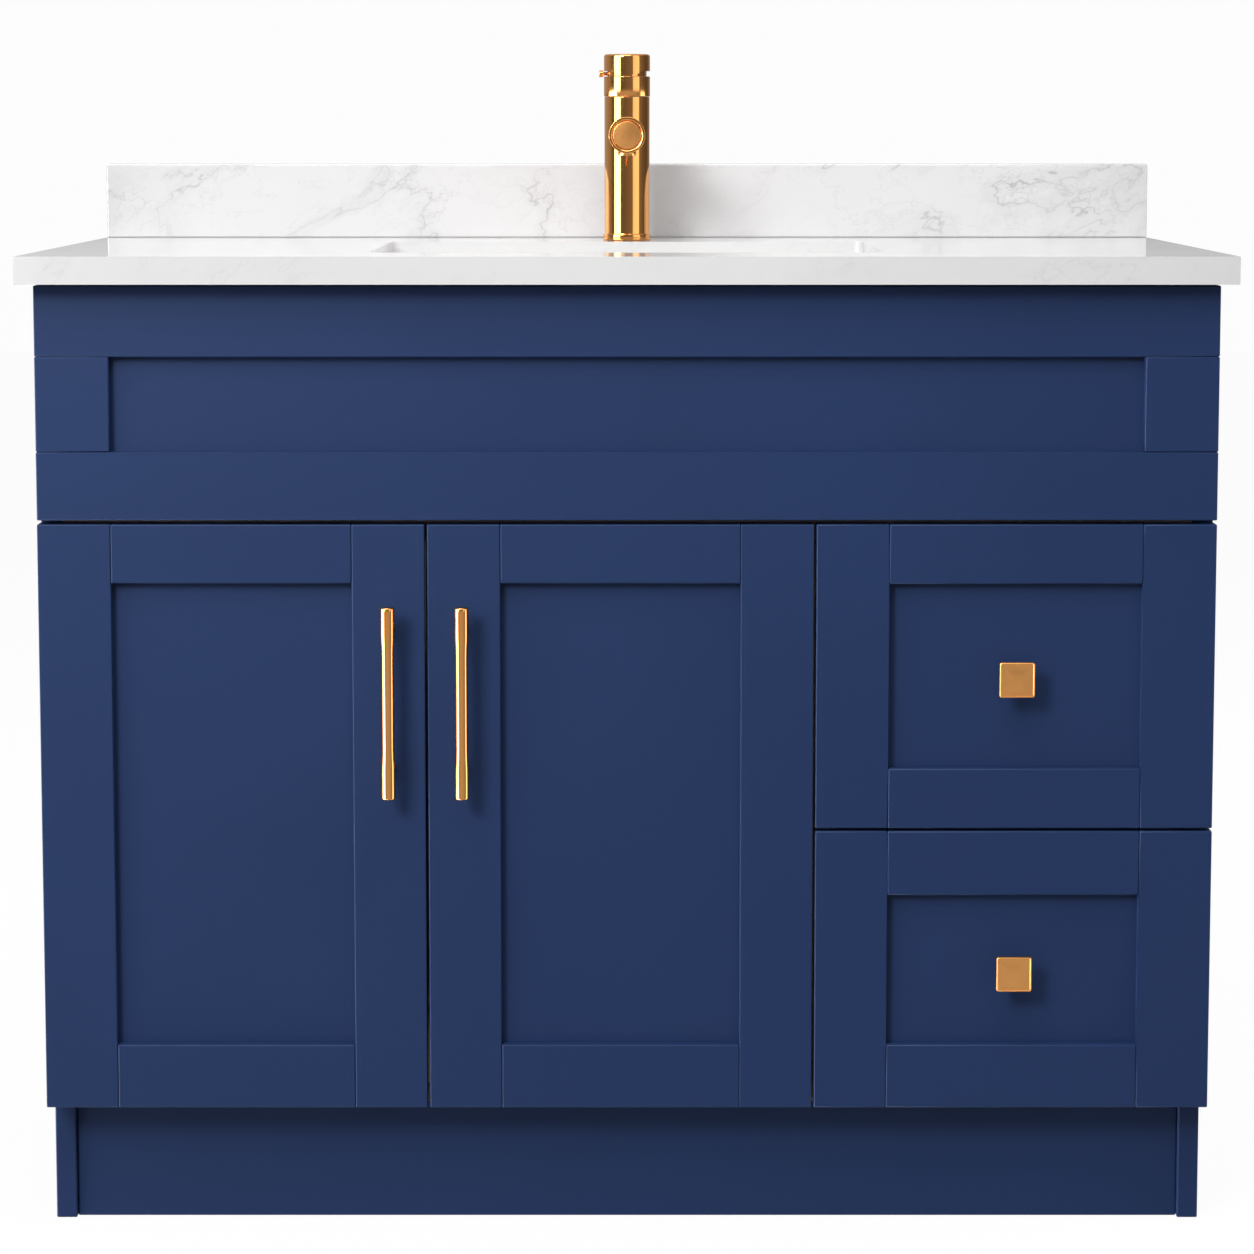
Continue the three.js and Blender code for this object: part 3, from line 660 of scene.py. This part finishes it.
def make_faucet():
    place = faucet_axis()
    radius, top, ring, ring_top, shank, shank_end = COLUMN.values()
    column = filleted([
        (0, shank_end), (shank, shank_end), (shank, 0.3), (ring, 0.3), (ring, ring_top), (radius, ring_top),
        (radius, top - 0.3), (radius - 0.6, top), (0, top),
    ], 0.7)
    make_piece("faucet_column", turned(column, 128), "gold", BODY["faucet_body"], place, ["faucet_body"])
    make_spout(place)
    radius, top, cup, cup_floor = SLEEVE.values()
    base = COLUMN["top"] + 0.3
    sleeve = [(0, base), (radius, base), (radius, top), (cup, top), (cup, cup_floor), (13.2, cup_floor)]
    dome = arc(DOME["radius"], DOME["height"], range(125, 0, -5))
    crown = (0, DOME["height"] + DOME["radius"])
    shape = turned([*filleted(sleeve, 0.5), *dome, crown], 128)
    make_piece("faucet_sleeve", shape, "gold", BODY["faucet_cartridge"], place, ["faucet_cartridge"])
    make_cap(place)


def arc(radius, height, degrees):
    """Points about a centre on the axis, by their angles from straight up."""
    return [(radius * math.sin(a), height + radius * math.cos(a)) for a in map(math.radians, degrees)]


def make_spout(place):
    """A level tube with a satin disc in its end, and its outlet under it."""
    body = BODY["faucet_spout"]
    radius, end = SPOUT["radius"], SPOUT["end"]
    arm = filleted([
        (0, 19), (radius, 19), (radius, end), (15.6, end), (14.4, end - 0.8), (14.4, end - 2), (0, end - 2),
    ], 0.6)
    axis = place @ at(0, 0, SPOUT["height"] * MM)
    make_piece("faucet_spout_arm", turned(arm, 96), "gold", body, axis @ FORWARD, ["faucet_spout"])
    disc = turned(filleted([(0, end - 3), (13.7, end - 3), (13.7, end - 0.4), (0, end - 0.4)], 0.6), 96)
    make_piece("faucet_spout_disc", disc, "gold", body, axis @ FORWARD, material=SATIN_GOLD)
    outlet = filleted([(0, 14), (9, 14), (9, 20), (7.8, 20), (7.6, 19), (0, 18.6)], 0.4)
    under = axis @ at(0, -SPOUT["aerator_at"] * MM, 0) @ Matrix.Rotation(math.pi, 4, "X")
    make_piece("faucet_aerator", turned(outlet, 64), "gold", body, under)


def make_cap(place):
    """A cap with a slot on each side, and the lever pin standing out of the left one."""
    body = BODY["faucet_cap"]
    radius, bottom, top = SLEEVE["radius"], CAP["bottom"], CAP["top"]
    outside = filleted([(radius, bottom), (radius, top), (0, top)], CAP["round"], 6)
    inside = arc(DOME["radius"] + DOME["play"], DOME["height"], range(0, 91, 6))
    shell = turned([*outside, *inside], 128, joined=True)
    cap = make_piece("faucet_cap_shell", shell, "gold", body, place, ["faucet_cap"])
    near, slot_bottom, slot_top = CAP_SLOT.values()
    slot_left = slab((-OUTSIDE, -OUTSIDE, slot_bottom), (-near, OUTSIDE, slot_top))
    slot_right = slab((near, -OUTSIDE, slot_bottom), (OUTSIDE, OUTSIDE, slot_top))
    shapes = {"slot_left": slot_left, "slot_right": slot_right, "wedge": wedge()}
    carve(cap, *(make_piece(name, shape, "gold", None, place) for name, shape in shapes.items()))
    neck = turned([(16.6, bottom), (20, bottom), (20, 173), (16.6, 173)], 96, joined=True)
    make_piece("faucet_cap_neck", neck, "gold", body, place)
    pin = filleted([(0, 19), (1.7, 19), (1.7, 24.2), (3.4, 24.2), (3.4, 28.4), (0, 28.4)], 0.5, 3)
    left = place @ at(0, 0, PIN_HEIGHT * MM) @ LEFTWARD
    make_piece("faucet_lever_pin", turned(pin, 48), "gold", body, left)


def wedge():
    """What the cap's skirt leaves free on its right, so that the cap can tilt."""
    rise = OUTSIDE * math.tan(math.radians(CAP["tilt"]))
    base, bottom = CAP_SLOT["bottom"], CAP["bottom"]
    outline = ((0, base), (OUTSIDE, base), (OUTSIDE, bottom + rise), (0, bottom))
    return capped([[Vector((x, y, z)) for x, z in outline] for y in (-OUTSIDE, OUTSIDE)])


# ---------------------------------------------------------------- basin and plumbing, in millimetres
SINK_HALF = Vector((237.5, 150))  # half the counter's cut-out
BASIN = {
    "floor": 733.0, "fall": 2.0, "wall": 8.0, "round": 14.0, "corner": 18.0,
    "flange": 22.0, "flange_corner": 25,
}
DRAIN_HOLE = 22
TAIL_END, STEM_END = 690, 700
TRAP = {"bend": 580.0, "arm": 640.0, "width": 80, "radius": 18.4, "turn": 40.0}


def make_basin():
    """An undermount bowl with round corners, whose floor falls gently to the drain."""
    low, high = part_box("basin")
    centre = (low + high) / 2
    top = high.z / MM
    floor, fall, wall, round_off, upright, flange, flange_corner = BASIN.values()

    def ring(inset, height, corner):
        return rounded_rectangle(SINK_HALF.x - inset, SINK_HALF.y - inset, corner, height, 10)

    def hole(radius, height):
        return rounded_rectangle(radius, radius, radius, height, 10)

    def bowl(grow, base):
        """Rings from the top of the wall down to the edge of the drain hole."""
        rings = [ring(-grow, top - 12, upright + grow), ring(-grow, base + round_off, upright + grow)]
        steps = 8
        for step in range(1, steps + 1):
            a = math.pi / 2 * step / steps
            inset = round_off * (1 - math.cos(a))
            rings.append(ring(inset - grow, base + round_off * (1 - math.sin(a)), upright + grow - inset))
        return rings

    inner = bowl(0, floor + fall)
    outer = bowl(wall, floor - wall)
    drain = [hole(34, floor + 0.5), hole(32.5, floor), hole(DRAIN_HOLE, floor)]
    rim = [
        ring(-flange, top - wall, flange_corner), ring(-flange, top - 0.6, flange_corner),
        ring(-flange + 0.6, top, flange_corner),
    ]
    lip = [ring(1.0, top, upright - 1), ring(0, top - 1.0, upright)]
    under_rim = ring(-wall, top - wall, upright + wall)
    under, through = hole(40, floor - wall), hole(DRAIN_HOLE, floor - wall)
    rings = [under, *outer[::-1], under_rim, *rim, *lip, *inner, *drain, through]
    place = at(centre.x, centre.y, 0)
    make_piece("basin_bowl", skin(rings, joined=True), "ceramic", BODY["basin"], place, ["basin"])


def make_drain():
    """The ring and tail tube in the basin's floor, and the stopper standing in them."""
    low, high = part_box("drain_flange")
    place = at((low.x + high.x) / 2, (low.y + high.y) / 2, 0)
    base, top = high.z / MM - 2.5, high.z / MM
    flange = filleted([
        (17, TAIL_END), (20, TAIL_END), (20, base), (31.8, base), (31.9, base + 0.6), (28, top - 0.2),
        (20, top), (17, top - 1.2),
    ], 0.8)
    ring = turned(flange, 96, joined=True)
    make_piece("drain_ring", ring, "chrome", BODY["drain_flange"], place, ["drain_flange"])
    low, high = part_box("drain_stopper")
    top = high.z / MM
    cap = filleted([
        (0, STEM_END), (5, STEM_END), (5, top - 4), (21.8, top - 4), (21.8, top - 2.4), (14, top - 0.5),
        (0, top),
    ], 0.8)
    body = BODY["drain_stopper"]
    make_piece("drain_stopper_cap", turned(cap, 96), "chrome", body, place, ["drain_stopper"])


def make_trap():
    """A drain trap: down, round a bend and back to the wall, with a slip nut at each joint."""
    low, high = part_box("p_trap")
    x, start, wall = (low.x + high.x) / 2 / MM, low.y / MM + 19, high.y / MM
    top = high.z / MM
    bend, arm, width, radius, turn = TRAP.values()
    far = start + width
    route = filleted([(start, top), (start, bend), (far, bend), (far, arm), (wall, arm)], turn, 12)
    rings, body = [], BODY["p_trap"]
    for index, (y, z) in enumerate(route):
        before, after = Vector(route[max(index - 1, 0)]), Vector(route[min(index + 1, len(route) - 1)])
        along = (after - before).normalized()
        side = Vector((0, -along.y, along.x))
        around = (Vector((point.x, 0, 0)) + side * point.y for point in circle(1.0, 0, 48))
        rings.append([Vector((x, y, z)) + radius * offset for offset in around])
    first, last = [Vector((x, *route[0]))], [Vector((x, *route[-1]))]
    make_piece("trap_pipe", skin([first, *rings, last]), "chrome", body, stands_for=["p_trap"])
    nut = filleted([(18, 0), (24, 0), (24, 3), (22.4, 4), (22.4, 17), (21, 18), (18, 18)], 0.8)
    places = [
        at(x * MM, start * MM, (top - 34) * MM),
        at(x * MM, far * MM, (arm - 38) * MM),
        at(x * MM, (far + 50) * MM, arm * MM) @ BACKWARD,
    ]
    for number, place in enumerate(places, 1):
        make_piece(f"trap_nut_{number}", turned(nut, 60, joined=True), "chrome", body, place)


# ---------------------------------------------------------------- drawer boxes
FINGERS = 9  # along each corner joint
BOX_WALL = 12.0
FINGER_PLAY = 0.06


def crenellated(length, height, first):
    """A board's outline with fingers at both ends, which start proud (first = 0) or set back (first = 1)."""
    step = height / FINGERS
    right = []
    for index in range(FINGERS):
        x = length / 2 - (BOX_WALL if (index + first) % 2 else 0.0)
        right += [(x, index * step + FINGER_PLAY), (x, (index + 1) * step - FINGER_PLAY)]
    left = [(-x, z) for x, z in reversed(right)]
    return right + left


def extrude(outline, half_thickness):
    """An outline in (x, z), drawn from -half to +half thickness in y."""
    return capped([[Vector((x, y, z)) for x, z in outline] for y in (-half_thickness, half_thickness)])


def make_drawer_box(node):
    """Two sides, a front and a back, finger-jointed at the corners."""
    low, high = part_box(node)
    body, centre = BODY[node], (low + high) / 2
    height, wide, deep = (high.z - low.z) / MM, (high.x - low.x) / MM, (high.y - low.y) / MM
    inset = BOX_WALL / 2 * MM
    across = Matrix.Rotation(math.radians(90), 4, "Z")
    for name, y in (("front", low.y + inset), ("back", high.y - inset)):
        shape = extrude(crenellated(wide, height, 1), BOX_WALL / 2)
        place = at(centre.x, y, low.z)
        make_piece(f"{node}_{name}", shape, "birch_ply", body, place, material=BIRCH["x", "y"])
    for name, x in (("left", low.x + inset), ("right", high.x - inset)):
        shape = extrude(crenellated(deep, height, 0), BOX_WALL / 2)
        place = at(x, centre.y, low.z) @ across
        make_piece(f"{node}_{name}", shape, "birch_ply", body, place, material=BIRCH["y", "x"])
    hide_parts(node)


# ---------------------------------------------------------------- hinges
def make_hinge(door, level):
    """A cup in the door with its wings, an arm and plate on the board, and the strap that joins them."""
    cup_node, arm_node = f"{door}_cup_{level}", f"{door}_hinge_arm_{level}"
    door_body, board_body = BODY[cup_node], BODY[arm_node]
    low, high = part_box(cup_node)
    cup_x, cup_z, back = (low.x + high.x) / 2, (low.z + high.z) / 2, high.y
    cup = filleted([(0, 11.6), (17.2, 11.6), (17.2, 0), (14.6, 0), (14.6, 10.6), (0, 10.6)], 0.6)
    place = at(cup_x, back, cup_z) @ FORWARD
    make_piece(f"{cup_node}_shell", turned(cup, 64), "steel", door_body, place, [cup_node])
    for sign, name in SCREW_SIDES:
        half = at(cup_x, back, cup_z) @ Matrix.Diagonal((1, 1, sign, 1))
        shape = slab((-6, -0.2, 16.5), (6, 0.9, 31))
        ease(make_piece(f"{cup_node}_wing_{name}", shape, "steel", door_body, half), 0.4)
        screw = at(cup_x, back + 0.7 * MM, cup_z + sign * 24 * MM) @ BACKWARD
        make_piece(f"{cup_node}_screw_{name}", screw_head(3.4, 0.5), "steel", door_body, screw)
    low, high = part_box(arm_node)
    inward = 1 if door == "door_left" else -1
    board = low.x if inward > 0 else high.x
    place = at(board, low.y, (low.z + high.z) / 2) @ Matrix.Diagonal((inward, 1, 1, 1))
    plate = slab((0, 20, -24), (2.7, 64, 24))
    ease(make_piece(f"{arm_node}_plate", plate, "steel", board_body, place, [arm_node]), 1.0)
    ease(make_piece(f"{arm_node}_channel", hinge_channel(), "steel", board_body, place), 0.5)
    for sign, name in SCREW_SIDES:
        screw = place @ at(2.6 * MM, 34 * MM, sign * 18 * MM) @ RIGHTWARD
        make_piece(f"{arm_node}_screw_{name}", screw_head(4, 2), "steel", board_body, screw)
    make_hinge_strap(door, level, place, Vector((cup_x, back, cup_z)))


def hinge_channel():
    """The arm: a shallow U over the plate, narrower towards its front end."""
    section = [(2.9, -1), (11.4, -1), (11.4, 1), (2.9, 1)]
    stations = ((0.4, 6.0), (18, 6.0), (26, 7.0), (70, 7.0), (72, 6.2))
    return capped([[Vector((x, y, side * half)) for x, side in section] for y, half in stations])


def make_hinge_strap(door, level, arm_place, cup):
    """The hinge's links, from the arm's front end into the cup."""
    start = arm_place @ (Vector((7, 1.5, 0)) * MM)
    end = cup + Vector((0, -7, 0)) * MM
    thick, half, steps = 1.6, 4.6, 16
    outline = ((-thick, -half), (thick, -half), (thick, half), (-thick, half))
    section = [Vector((x, 0, z)) for x, z in outline]
    centres = [start.lerp(end, step / steps) / MM for step in range(steps + 1)]
    shape = capped([[centre + corner for corner in section] for centre in centres])
    strap = make_piece(f"{door}_hinge_strap_{level}", shape, "steel", None)
    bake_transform(strap)


# ---------------------------------------------------------------- CAD nodes
NODE_MATERIAL = {
    "partition": BIRCH["z", "x"],
    "bottom_panel": BIRCH["x", "z"],
    "drawer_upper_bottom": BIRCH["y", "z"],
    "drawer_lower_bottom": BIRCH["y", "z"],
}


def dress(node):
    """A CAD node's own material, and its edges eased."""
    piece = NODES[node]
    slot = SLOT[node]
    piece.data.materials.clear()
    piece.data.materials.append(NODE_MATERIAL.get(node) or MATERIALS[slot])
    weld = piece.modifiers.new("weld", "WELD")
    weld.merge_threshold = WELD
    flat = piece.modifiers.new("flat", "DECIMATE")
    flat.decimate_type = "DISSOLVE"
    flat.angle_limit = math.radians(1)
    ease(piece, EASED[slot], angle=50)


make_camera()
make_world()
make_floor()
make_area_light("key", (-1.6, -3.1, 2.35), (0, -0.2, 0.55), (1.0, 1.0), 78)
make_area_light("overhead", (-0.3, -1.6, 3.1), (0, -0.2, 0.6), (2.2, 1.8), 46)
make_area_light("right_fill", (3.4, -0.2, 1.6), (0.5, 0, 0.5), (1.6, 1.6), 40, mirrored=False)
make_area_light("back_fill", (0.4, 2.6, 2.6), (0, 0.2, 0.6), (2.0, 1.2), 30, mirrored=False)
for node in NODES:
    dress(node)
frame_members("false_front_frame", "false_front_panel", "rails")
for drawer in ("drawer_upper", "drawer_lower"):
    frame_members(f"{drawer}_front_frame", f"{drawer}_front_panel", "stiles")
    make_knob(f"{drawer}_knob")
    make_drawer_box(f"{drawer}_box")
for door in ("door_left", "door_right"):
    make_handle(f"{door}_handle")
    for level in ("top", "bottom"):
        make_hinge(door, level)
make_faucet()
make_basin()
make_drain()
make_trap()
